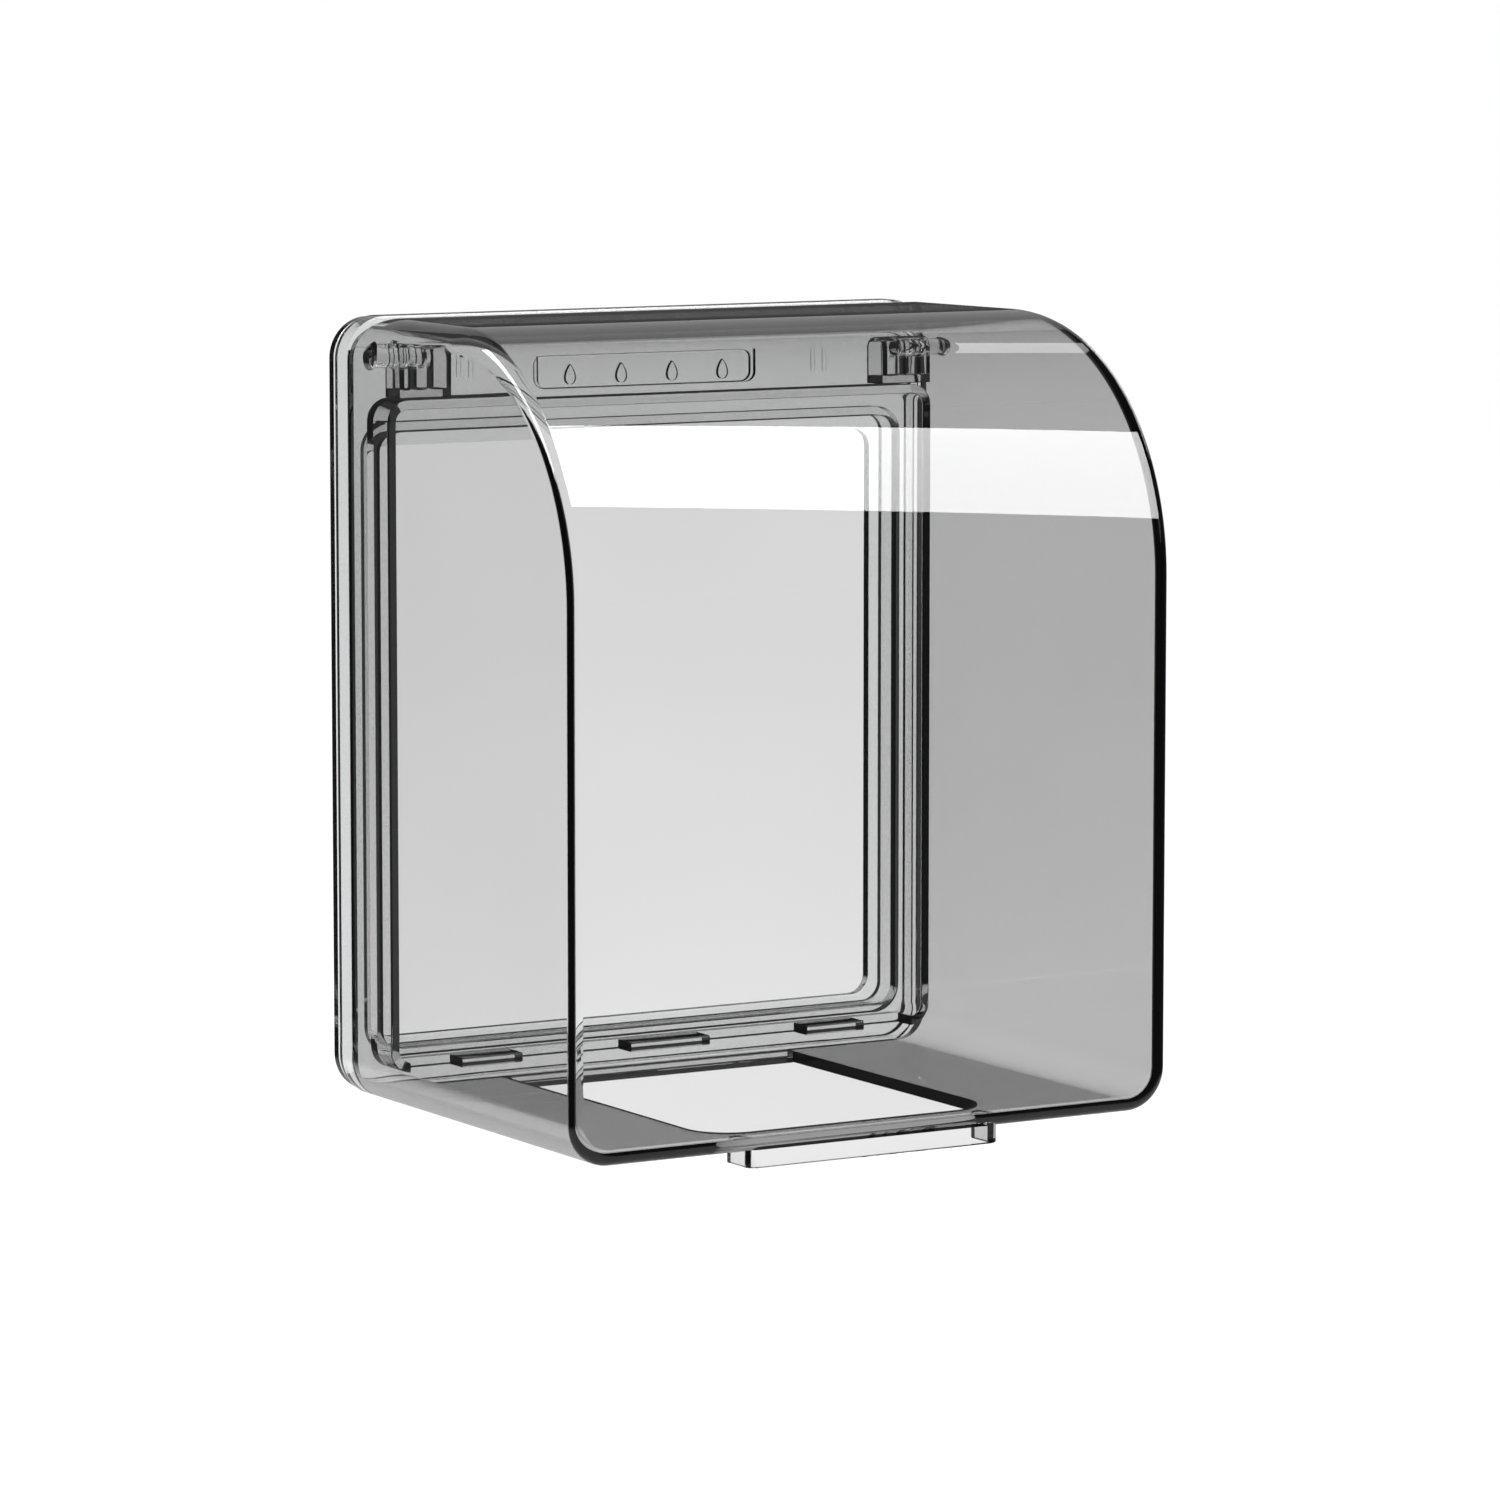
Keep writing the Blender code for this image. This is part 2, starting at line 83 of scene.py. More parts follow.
@dataclass(frozen=True)
class CoverSizes:
    """Sizes in metres that more than one sub-assembly shares."""

    width: float = 0.104
    height: float = 0.1205
    corner: float = 0.0066
    gap: float = 0.0003
    gasket_thickness: float = 0.0019
    gasket_top: float = 0.0202
    rim_depth: float = 0.0050
    plate: float = 0.0020
    collar_height: float = 0.0068
    collar_drop: float = 0.0124
    collar_rise: float = 0.0049
    collar_clearance: float = 0.0024
    hinge_drop: float = 0.0058
    pin_radius: float = 0.0016
    lid_wall: float = 0.0018
    pin_entry: float = 0.0008
    cut_width: float = 0.0500
    overrun: float = 0.0030

    @property
    def half(self) -> float:
        """Half of the width."""
        return self.width / 2

    @property
    def top(self) -> float:
        """Height of the top edge."""
        return self.gasket_top / 2

    @property
    def bottom(self) -> float:
        """Height of the bottom edge."""
        return self.top - self.height

    @property
    def frame_back(self) -> float:
        """Depth of the frame's back."""
        return -(self.gasket_thickness + self.gap)

    @property
    def rim_front(self) -> float:
        """Depth of the frame's front plate."""
        return self.frame_back - self.rim_depth

    @property
    def plate_back(self) -> float:
        """Depth of the back of the frame's plate."""
        return self.rim_front + self.plate

    @property
    def collar_front(self) -> float:
        """Depth of the collar's front edge."""
        return self.rim_front - self.collar_height

    @property
    def collar_top(self) -> float:
        """Height of the collar's top side."""
        return self.top - self.collar_drop

    @property
    def axis_y(self) -> float:
        """Depth of the hinge axis."""
        return self.rim_front - self.gap - self.hinge_drop

    @property
    def axis_z(self) -> float:
        """Height of the hinge axis."""
        return self.top - self.hinge_drop

    @property
    def lid_back(self) -> float:
        """Depth of the lid's back edge."""
        return self.axis_y + self.hinge_drop

    @property
    def bore(self) -> float:
        """Radius of the bores that the pins turn in."""
        return self.pin_radius + self.gap


SIZES = CoverSizes()


# Flat outlines and the solids that are pushed out of them


def arc(center: Point2, radius: float, start: float, end: float, count: int) -> list[Point2]:
    """Sample an arc in a number of steps, from its first angle to its last in radians."""
    turns = [start + (end - start) * i / count for i in range(count + 1)]
    return [(center[0] + radius * math.cos(t), center[1] + radius * math.sin(t)) for t in turns]


def rounded_box(left: float, right: float, low: float, high: float, radius: float,
                steps: int = 20) -> list[Point2]:
    """Draw a box with four rounded corners.

    Args:
        left: Left edge.
        right: Right edge.
        low: Bottom edge.
        high: Top edge.
        radius: Radius of the corners.
        steps: Steps in each corner.

    Returns:
        The closed outline, counter-clockwise.
    """
    corners = ((right - radius, low + radius, -1), (right - radius, high - radius, 0),
               (left + radius, high - radius, 1), (left + radius, low + radius, 2))
    points: list[Point2] = []
    for x, y, turn in corners:
        points += arc((x, y), radius, turn * QUARTER, (turn + 1) * QUARTER, steps)
    return points


def cover_ring(side: float, top: float, bottom: float, radius: float) -> list[Point2]:
    """Draw the rounded outline that lies inside the cover's edges by three insets."""
    return rounded_box(-SIZES.half + side, SIZES.half - side, SIZES.bottom + bottom, SIZES.top - top,
                       radius)


def weld(mesh: Mesh, distance: float = 1e-6) -> None:
    """Join doubled points of a mesh and turn its faces outwards.

    Args:
        mesh: The mesh to clean.
        distance: How near two points have to lie.
    """
    work = bmesh.new()
    work.from_mesh(mesh)
    bmesh.ops.remove_doubles(work, verts=work.verts, dist=distance)
    bmesh.ops.dissolve_degenerate(work, edges=work.edges, dist=distance)
    bmesh.ops.recalc_face_normals(work, faces=work.faces)
    work.to_mesh(mesh)
    work.free()


def place_object(name: str, mesh: Mesh) -> Object:
    """Put a mesh in the scene at the origin.

    Args:
        name: Name of the object.
        mesh: Its mesh, already in the cover's frame.

    Returns:
        The new object.
    """
    mesh.name = name
    obj = bpy.data.objects.new(name, mesh)
    bpy.context.scene.collection.objects.link(obj)
    return obj


def solid_object(name: str, work: bmesh.types.BMesh) -> Object:
    """Weld loose faces into a solid and put it in the scene.

    Args:
        name: Name of the solid.
        work: The faces, which are freed.

    Returns:
        The solid as a mesh object.
    """
    mesh = bpy.data.meshes.new(name)
    work.to_mesh(mesh)
    work.free()
    weld(mesh)
    return place_object(name, mesh)


def evaluated_mesh(obj: Object) -> Mesh:
    """Return a plain mesh of an object with its modifiers applied."""
    bpy.context.view_layer.update()
    graph = bpy.context.evaluated_depsgraph_get()
    return bpy.data.meshes.new_from_object(obj.evaluated_get(graph))


def prism(name: str, outlines: Sequence[Sequence[Point2]], facing: Facing, start: float, end: float,
          rounding: float = 0.0) -> Object:
    """Push closed outlines out along the direction that they face.

    Args:
        name: Name of the solid.
        outlines: Closed outlines, the later ones holes in the first.
        facing: The way in which they are drawn.
        start: Place of one end along the axis.
        end: Place of the other end.
        rounding: Radius of the rounded edges at both ends.

    Returns:
        The solid as a mesh object.
    """
    curve = bpy.data.curves.new(name, "CURVE")
    curve.dimensions = "2D"
    curve.fill_mode = "BOTH"
    curve.extrude = abs(end - start) / 2 - rounding
    curve.bevel_depth = rounding
    curve.bevel_resolution = 1
    curve.offset = -rounding
    for points in outlines:
        spline = curve.splines.new("POLY")
        spline.points.add(len(points) - 1)
        for point, (u, v) in zip(spline.points, points):
            point.co = (u, v, 0.0, 1.0)
        spline.use_cyclic_u = True
    drawn = bpy.data.objects.new(name + "_outline", curve)
    bpy.context.scene.collection.objects.link(drawn)
    mesh = evaluated_mesh(drawn)
    bpy.data.objects.remove(drawn)
    turn = Matrix(facing.value)
    shift = turn @ Vector((0, 0, 1)) * ((start + end) / 2 * facing.sign())
    mesh.transform(Matrix.Translation(shift) @ turn.to_4x4())
    weld(mesh)
    return place_object(name, mesh)


def cross_rod(name: str, radius: float, start: float, end: float, sides: int = 40) -> Object:
    """Make a rod along X on the hinge axis, from one place along X to another."""
    ring = arc((SIZES.axis_y, SIZES.axis_z), radius, 0.0, 4 * QUARTER * (sides - 1) / sides, sides - 1)
    return prism(name, (ring,), Facing.SIDE, start, end)


def slab(name: str, outlines: Sequence[Sequence[Point2]], back: float, front: float,
         rounding: float = 0.0) -> Object:
    """Push outlines that face the front from one depth to another and return the solid."""
    return prism(name, outlines, Facing.FRONT, back, front, rounding)


def block(name: str, low: Point3, high: Point3) -> Object:
    """Make a box between its lowest and its highest corner."""
    ring = [(low[0], low[2]), (high[0], low[2]), (high[0], high[2]), (low[0], high[2])]
    return slab(name, (ring,), low[1], high[1])


def carve(base: Object, steps: Iterable[tuple[Object, Join]]) -> Object:
    """Add tools to a solid or cut them out of it, and remove them.

    Args:
        base: The solid to work on.
        steps: Tools in order, each with what it does.

    Returns:
        The same object with a new mesh and no modifier.
    """
    tools = []
    for tool, join in steps:
        step = base.modifiers.new(tool.name, "BOOLEAN")
        step.operation = join.value
        step.solver = "EXACT"
        step.object = tool
        tools.append(tool)
    mesh = evaluated_mesh(base)
    base.modifiers.clear()
    base.data = mesh
    for tool in tools:
        bpy.data.objects.remove(tool)
    return base


def finish_surface(obj: Object, sharp: float, flat: float = 0.05) -> None:
    """Clean a solid's mesh and shade its flat and its curved faces apart.

    Args:
        obj: The solid.
        sharp: Angle in degrees above which an edge stays sharp.
        flat: Angle in degrees below which faces are joined.
    """
    weld(obj.data)
    work = bmesh.new()
    work.from_mesh(obj.data)
    bmesh.ops.dissolve_limit(work, angle_limit=math.radians(flat), verts=work.verts, edges=work.edges,
                             delimit={"NORMAL"})
    bmesh.ops.triangulate(work, faces=[face for face in work.faces if len(face.verts) > 4])
    work.to_mesh(obj.data)
    work.free()
    for polygon in obj.data.polygons:
        polygon.use_smooth = True
    obj.data.set_sharp_from_angle(angle=math.radians(sharp))
    weights = obj.modifiers.new("weighted", "WEIGHTED_NORMAL")
    weights.keep_sharp = True
    weights.weight = 100
    mesh = evaluated_mesh(obj)
    obj.modifiers.clear()
    obj.data = mesh
    mesh.name = obj.name


# Nodes and finishes


class Nodes:
    """Adds and joins the nodes of one tree."""

    def __init__(self, tree: NodeTree) -> None:
        """Keep the tree that is worked on."""
        self.tree = tree

    def add(self, kind: str, inputs: Mapping[str | int, object] | None = None,
            **settings: object) -> Node:
        """Add a node, set its properties and feed its inputs.

        Args:
            kind: Type of the node.
            inputs: A socket or a plain value for each input, by name or by place.
            settings: Values of the node's own properties.

        Returns:
            The node.
        """
        made = self.tree.nodes.new(kind)
        for name, value in settings.items():
            setattr(made, name, value)
        self.feed(made, inputs or {})
        return made

    def feed(self, node: Node, inputs: Mapping[str | int, object]) -> None:
        """Connect or set some inputs of a node.

        Args:
            node: The node.
            inputs: A socket or a plain value for each input, by name or by place.
        """
        for name, value in inputs.items():
            if isinstance(value, NodeSocket):
                self.tree.links.new(value, node.inputs[name])
            else:
                node.inputs[name].default_value = value

    def math(self, operation: str, *values: object) -> NodeSocket:
        """Work out sockets or numbers and return the result's socket."""
        return self.add("ShaderNodeMath", dict(enumerate(values)), operation=operation).outputs[0]


class MouldedSurface:
    """Node group for moulded plastic: faint flow waves, fine specks and soft scuffs."""

    NAME = "MouldedSurface"
    VALUES = (("Wave Scale", 28.0), ("Speck Scale", 900.0), ("Base Roughness", 0.02),
              ("Roughness Spread", 0.02), ("Tint Spread", 0.04))
    RESULTS = (("Color", "NodeSocketColor"), ("Roughness", "NodeSocketFloat"), ("Height", "NodeSocketFloat"))
    WAVE_DETAIL = 1.0
    SPECK_DETAIL = 3.0
    SPECK_SHARE = 0.06
    SCUFF_SCALE = 160.0
    SCUFF_DETAIL = 5.0

    def tree(self) -> NodeTree:
        """Build the group on its first use.

        Returns:
            The group.
        """
        if self.NAME in bpy.data.node_groups:
            return bpy.data.node_groups[self.NAME]
        tree = bpy.data.node_groups.new(self.NAME, "ShaderNodeTree")
        for name, default in self.VALUES:
            socket = tree.interface.new_socket(name, in_out="INPUT", socket_type="NodeSocketFloat")
            socket.default_value = default
        tree.interface.new_socket("Tone", in_out="INPUT", socket_type="NodeSocketColor")
        for name, kind in self.RESULTS:
            tree.interface.new_socket(name, in_out="OUTPUT", socket_type=kind)
        nodes = Nodes(tree)
        given = nodes.add("NodeGroupInput").outputs
        place = nodes.add("ShaderNodeTexCoord").outputs["Object"]

        def noise(scale: object, detail: float) -> NodeSocket:
            """Add a noise and return its value."""
            return nodes.add("ShaderNodeTexNoise",
                             {"Vector": place, "Scale": scale, "Detail": detail}).outputs["Fac"]

        waves = noise(given["Wave Scale"], self.WAVE_DETAIL)
        specks = noise(given["Speck Scale"], self.SPECK_DETAIL)
        scuffs = noise(self.SCUFF_SCALE, self.SCUFF_DETAIL)
        shade = nodes.math("MULTIPLY", waves, given["Tint Spread"])
        darken = nodes.add("ShaderNodeMix", data_type="RGBA", blend_type="MIX")
        nodes.feed(darken, {0: shade, 6: given["Tone"], 7: (0.0, 0.0, 0.0, 1.0)})
        rough = nodes.math("MULTIPLY_ADD", scuffs, given["Roughness Spread"], given["Base Roughness"])
        height = nodes.math("MULTIPLY_ADD", specks, self.SPECK_SHARE, waves)
        nodes.add("NodeGroupOutput", {"Color": darken.outputs[2], "Roughness": rough, "Height": height})
        return tree


@dataclass(frozen=True)
class ClearPlastic:
    """A moulded clear material whose tone comes from its depth.

    Attributes:
        name: Name of the material.
        absorption: Density of the tone inside, per metre.
        roughness: Least surface roughness.
        spread: How much the roughness varies.
        smoke: Grey that the depth keeps.
        tone: Surface tint.
        tint_spread: How much the tint varies.
        ior: Index of refraction.
        specks: Scale of the fine specks.
        relief: Strength of the surface's relief.
        relief_depth: Depth of the surface's relief in metres.
    """

    name: str
    absorption: float
    roughness: float
    spread: float
    smoke: float = 0.40
    tone: Point3 = (1.0, 1.0, 1.0)
    tint_spread: float = 0.04
    ior: float = 1.5
    specks: float = 900.0
    relief: float = 0.005
    relief_depth: float = 0.0004

    def material(self) -> Material:
        """Build the material.

        Returns:
            The material.
        """
        material = bpy.data.materials.new(self.name)
        material.use_nodes = True
        nodes = Nodes(material.node_tree)
        surface = nodes.add("ShaderNodeGroup", node_tree=MouldedSurface().tree())
        nodes.feed(surface, {"Tone": (*self.tone, 1.0), "Base Roughness": self.roughness,
                             "Roughness Spread": self.spread, "Speck Scale": self.specks,
                             "Tint Spread": self.tint_spread})
        bump = nodes.add("ShaderNodeBump", {"Strength": self.relief, "Distance": self.relief_depth,
                                            "Height": surface.outputs["Height"]})
        nodes.feed(nodes.tree.nodes["Principled BSDF"], {
            "Metallic": 0.0, "Transmission Weight": 1.0, "IOR": self.ior,
            "Base Color": surface.outputs["Color"], "Roughness": surface.outputs["Roughness"],
            "Normal": bump.outputs["Normal"]})
        depth = nodes.add("ShaderNodeVolumeAbsorption",
                          {"Color": (self.smoke, self.smoke, self.smoke, 1.0), "Density": self.absorption})
        nodes.feed(nodes.tree.nodes["Material Output"], {"Volume": depth.outputs["Volume"]})
        return material


class PieceKind(Enum):
    """What a finished piece stands for: which finish it takes from FINISHES."""

    LID = "lid"
    FRAME = "frame"
    BRACKET = "bracket"
    PIN = "pin"
    GASKET = "gasket"


FINISHES = {
    PieceKind.LID: ClearPlastic("smoke_clear_lid", 262.0, 0.0, 0.006),
    PieceKind.FRAME: ClearPlastic("light_smoke_frame", 40.0, 0.0, 0.01),
    PieceKind.BRACKET: ClearPlastic("smoke_bracket", 90.0, 0.0, 0.02),
    PieceKind.PIN: ClearPlastic("smoke_pin", 70.0, 0.01, 0.03),
    PieceKind.GASKET: ClearPlastic("clear_silicone", 30.0, 0.02, 0.06, smoke=0.5, tone=(0.93, 0.935, 0.94),
                                   tint_spread=0.12, ior=1.41, specks=2400.0, relief=0.05,
                                   relief_depth=0.0002),
}


def hand_over(obj: Object, node: str, kind: PieceKind, body: str, sharp: float = 32.0) -> Object:
    """Finish a piece, dress it, let it ride on its body and stand for its node.

    Args:
        obj: The piece.
        node: The node that it replaces.
        kind: The material slot that it takes its finish from.
        body: The body that it moves with.
        sharp: Angle in degrees above which an edge stays sharp.

    Returns:
        The finished piece.
    """
    finish_surface(obj, sharp)
    obj.data.materials.clear()
    obj.data.materials.append(FINISHES[kind].material())
    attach(obj, body)
    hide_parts(node)
    LOG.info("%s rides on %s with %d faces", obj.name, body, len(obj.data.polygons))
    return obj


# Sub-assemblies


@dataclass
class LidShell:
    """One closed skin of the lid: a rolled front and roof, flat sides and a curled back edge.

    The rounded edge follows the path roof, roll, front and bottom, and its radius shrinks on the way.

    Attributes:
        inset: Distance inwards from the lid's outer skin.
        corner: Radius of the bottom corners and of the roof's back end.
        shoulder: Radius of the rounded edge where the roll begins.
        edge: Radius of the rounded edge along the front.
        roll: Radius of the rolled front.
        front: Depth of the front face.
        roll_center: Depth and height of the roll's axis.
        tail: Height at which the back edge stops curling, or None for a skin without a mouth.
        taper: Power by which the rounded edge shrinks along the roll.
    """

    inset: float
    corner: float
    shoulder: float
    edge: float
    roll: float
    front: float
    roll_center: Point2
    tail: float | None
    taper: int = 3
    edge_steps: int = 10
    roof_steps: int = 6
    roll_steps: int = 40
    front_steps: int = 6
    corner_steps: int = 24
    curl_steps: int = 4
    back_steps: int = 8

    def back_depth(self, z: float) -> float:
        """Return the depth of the back edge, which is open to the back below the tail.

        Args:
            z: The height.

        Returns:
            The depth.
        """
        if self.tail is not None and z < self.tail:
            return SIZES.lid_back + SIZES.overrun
        rise = z - SIZES.axis_z
        radius = SIZES.hinge_drop - self.inset
        if rise <= 0:
            return SIZES.axis_y + radius
        return SIZES.axis_y + math.sqrt(max(radius ** 2 - rise ** 2, 0.0))

    def turns(self) -> list[float]:
        """Return the angles of the rounded edge's points, 0 on the side and a quarter turn on the face."""
        return [QUARTER * step / self.edge_steps for step in range(self.edge_steps + 1)]

    def back_row(self) -> list[Vector]:
        """Work out the roof corner's points on the back edge.

        Returns:
            The points, from the side to the top.
        """
        half, top = SIZES.half - self.inset, SIZES.top - self.inset
        row = []
        for turn in self.turns():
            x, z = half - self.corner * (1 - math.cos(turn)), top - self.corner * (1 - math.sin(turn))
            row.append(Vector((x, self.back_depth(z), z)))
        return row

    def section(self, y: float, z: float, out: Point2, radius: float) -> list[Vector]:
        """Return the rounded edge's points at a place on the path.

        Args:
            y: Depth of the path.
            z: Height of the path.
            out: The face's outward direction in depth and height.
            radius: Radius of the rounded edge there.

        Returns:
            Points from the side to the face.
        """
        half = SIZES.half - self.inset
        row = []
        for turn in self.turns():
            x, sink = half - radius * (1 - math.cos(turn)), radius * (1 - math.sin(turn))
            row.append(Vector((x, y - out[0] * sink, z - out[1] * sink)))
        return row

    def rows(self) -> list[list[Vector]]:
        """Work out the rounded edge's rows of points for the right half.

        Returns:
            The rows, from the roof's back to the bottom's middle.
        """
        top, low = SIZES.top - self.inset, SIZES.bottom + self.inset
        center_y, center_z = self.roll_center
        rows = [self.back_row()]
        for step in range(1, self.roof_steps + 1):
            share = step / self.roof_steps
            radius = self.corner + (self.shoulder - self.corner) * share
            row = self.section(center_y, top, (0.0, 1.0), radius)
            for point, first in zip(row, rows[0]):
                point.y = first.y + (center_y - first.y) * share
            rows.append(row)
        for step in range(1, self.roll_steps + 1):
            share = step / self.roll_steps
            rise = QUARTER * (1 - share)
            out = (-math.cos(rise), math.sin(rise))
            radius = self.edge + (self.shoulder - self.edge) * (1 - share) ** self.taper
            rows.append(self.section(center_y + out[0] * self.roll, center_z + out[1] * self.roll, out,
                                     radius))
        end = low + self.corner
        for step in range(1, self.front_steps + 1):
            z = center_z + (end - center_z) * step / self.front_steps
            rows.append(self.section(self.front, z, (-1.0, 0.0), self.edge))
        middle = SIZES.half - self.inset - self.corner
        for step in range(1, self.corner_steps + 1):
            swing = -QUARTER * step / self.corner_steps
            row = []
            for turn in self.turns():
                reach = self.corner - self.edge * (1 - math.cos(turn))
                y = self.front + self.edge * (1 - math.sin(turn))
                row.append(Vector((middle + reach * math.cos(swing), y, end + reach * math.sin(swing))))
            rows.append(row)
        return rows

    def side_back(self) -> list[Vector]:
        """Work out the back edge of the side wall.

        Returns:
            The points, from the roof's corner down to the bottom's corner.
        """
        half, low = SIZES.half - self.inset, SIZES.bottom + self.inset
        high, axis = SIZES.top - self.inset - self.corner, SIZES.axis_z
        levels = []
        if high > axis:
            levels = [high + (axis - high) * step / self.curl_steps for step in range(1, self.curl_steps + 1)]
        first = levels[-1] if levels else high
        levels += [first + (low + self.corner - first) * step / self.back_steps
                   for step in range(1, self.back_steps + 1)]
        return [Vector((half, self.back_depth(z), z)) for z in levels]

    def corner_back(self) -> list[Vector]:
        """Work out the back edge of the bottom corner.

        Returns:
            The points, from the side down to the bottom.
        """
        middle, end = SIZES.half - self.inset - self.corner, SIZES.bottom + self.inset + self.corner
        run = arc((middle, end), self.corner, 0.0, -QUARTER, self.corner_steps)
        return [Vector((x, self.back_depth(end), z)) for x, z in run]

    def build(self, name: str) -> Object:
        """Build the closed skin.

        Args:
            name: Name of the solid.

        Returns:
            The solid as a mesh object.
        """
        work = bmesh.new()

        def face(points: Sequence[Vector]) -> None:
            """Add a face and its mirror image."""
            for sign in (1, -1):
                corners = [work.verts.new((sign * point.x, point.y, point.z)) for point in points]
                work.faces.new(corners if sign > 0 else corners[::-1])

        def across(first: Vector, second: Vector) -> None:
            """Span a strip from a right edge to its mirror image."""
            points = (first, second, (-second.x, second.y, second.z), (-first.x, first.y, first.z))
            work.faces.new([work.verts.new(point) for point in points])

        rows, side_back, corner_back = self.rows(), self.side_back(), self.corner_back()
        for first, second in zip(rows, rows[1:]):
            for i in range(self.edge_steps):
                face((first[i], first[i + 1], second[i + 1], second[i]))
        side_rows = len(rows) - self.corner_steps
        face([row[0] for row in rows[:side_rows]] + side_back[::-1])
        for i in range(self.corner_steps):
            face((rows[side_rows - 1 + i][0], rows[side_rows + i][0], corner_back[i + 1], corner_back[i]))
        for first, second in zip(rows, rows[1:]):
            across(first[-1], second[-1])
        for first, second in zip(rows[-1], rows[-1][1:]):
            across(first, second)
        across(rows[-1][0], corner_back[-1])
        back = rows[0][::-1] + side_back + corner_back[1:]
        for first, second in zip(back, back[1:]):
            across(first, second)
        return solid_object(name, work)


@dataclass
class Lid:
    """The one-piece lid with its cable way, finger lip and pin sockets."""

    depth: float = 0.0688
    roll: float = 0.0390
    tail_drop: float = 0.0022
    shoulder: float = 0.0044
    edge: float = 0.0017
    inner_edge: float = 0.0006
    cut_front: float = 0.0074
    cut_corner: float = 0.0070
    cut_steps: int = 18
    lip_width: float = 0.0440
    lip_depth: float = 0.0072
    lip_drop: float = 0.0026
    lip_wall: float = 0.0015
    lip_corner: float = 0.0020
    lip_root: float = 0.0008
    lip_rounding: float = 0.0002
    lip_steps: int = 8

    @property
    def front(self) -> float:
        """Depth of the front face."""
        return SIZES.lid_back - self.depth

    def skin(self, inset: float, tail: float | None) -> LidShell:
        """Return the skin at an inset, with the height of its mouth's top or None."""
        return LidShell(inset, SIZES.corner - inset, self.shoulder - inset,
                        max(self.edge - inset, self.inner_edge), self.roll - inset, self.front + inset,
                        (self.front + self.roll, SIZES.top - self.roll), tail)

    def cut_outline(self) -> list[Point2]:
        """Draw the cable cut-out seen from above, open to the back.

        Returns:
            The closed outline.
        """
        half, radius = SIZES.cut_width / 2, self.cut_corner
        front, back = self.front + self.cut_front, SIZES.lid_back + SIZES.overrun
        left = arc((-half + radius, front + radius), radius, 2 * QUARTER, 3 * QUARTER, self.cut_steps)
        right = arc((half - radius, front + radius), radius, 3 * QUARTER, 4 * QUARTER, self.cut_steps)
        return [(half, back), (-half, back)] + left + right

    def lip_outline(self) -> list[Point2]:
        """Draw the finger lip seen from above: a low wall on three sides.

        Returns:
            The closed outline.
        """
        half, radius, inner = self.lip_width / 2, self.lip_corner, self.lip_corner - self.lip_wall
        front = self.front + SIZES.gap
        back = front + self.lip_depth - 2 * SIZES.gap
        left, right = (-half + radius, front + radius), (half - radius, front + radius)
        inner_steps = self.lip_steps // 2
        outer_run = ([(-half, back)] + arc(left, radius, 2 * QUARTER, 3 * QUARTER, self.lip_steps)
                     + arc(right, radius, 3 * QUARTER, 4 * QUARTER, self.lip_steps) + [(half, back)])
        inner_run = ([(half - self.lip_wall, back)] + arc(right, inner, 4 * QUARTER, 3 * QUARTER, inner_steps)
                     + arc(left, inner, 3 * QUARTER, 2 * QUARTER, inner_steps)
                     + [(-half + self.lip_wall, back)])
        return outer_run + inner_run

    def build(self) -> Object:
        """Build the lid.

        Returns:
            The lid.
        """
        wall, lip_low = SIZES.lid_wall, SIZES.bottom - self.lip_drop
        lid = self.skin(0.0, None).build("lid_cover")
        hollow = self.skin(wall, SIZES.top - self.tail_drop).build("lid_hollow")
        lip = prism("finger_lip", (self.lip_outline(),), Facing.UP, lip_low, SIZES.bottom + self.lip_root,
                    self.lip_rounding)
        cut = prism("cable_cut", (self.cut_outline(),), Facing.UP, lip_low - SIZES.overrun,
                    SIZES.bottom + wall + SIZES.overrun)
        steps = [(lip, Join.ADD), (hollow, Join.CUT), (cut, Join.CUT)]
        inside = SIZES.half - wall
        for side in Side:
            start, end = inside - SIZES.overrun, inside + SIZES.pin_entry + SIZES.gap
            steps.append((cross_rod(f"pin_socket_{side.label()}", SIZES.bore, side.value * start,
                                    side.value * end), Join.CUT))
        return hand_over(carve(lid, steps), "lid", PieceKind.LID, "lid")


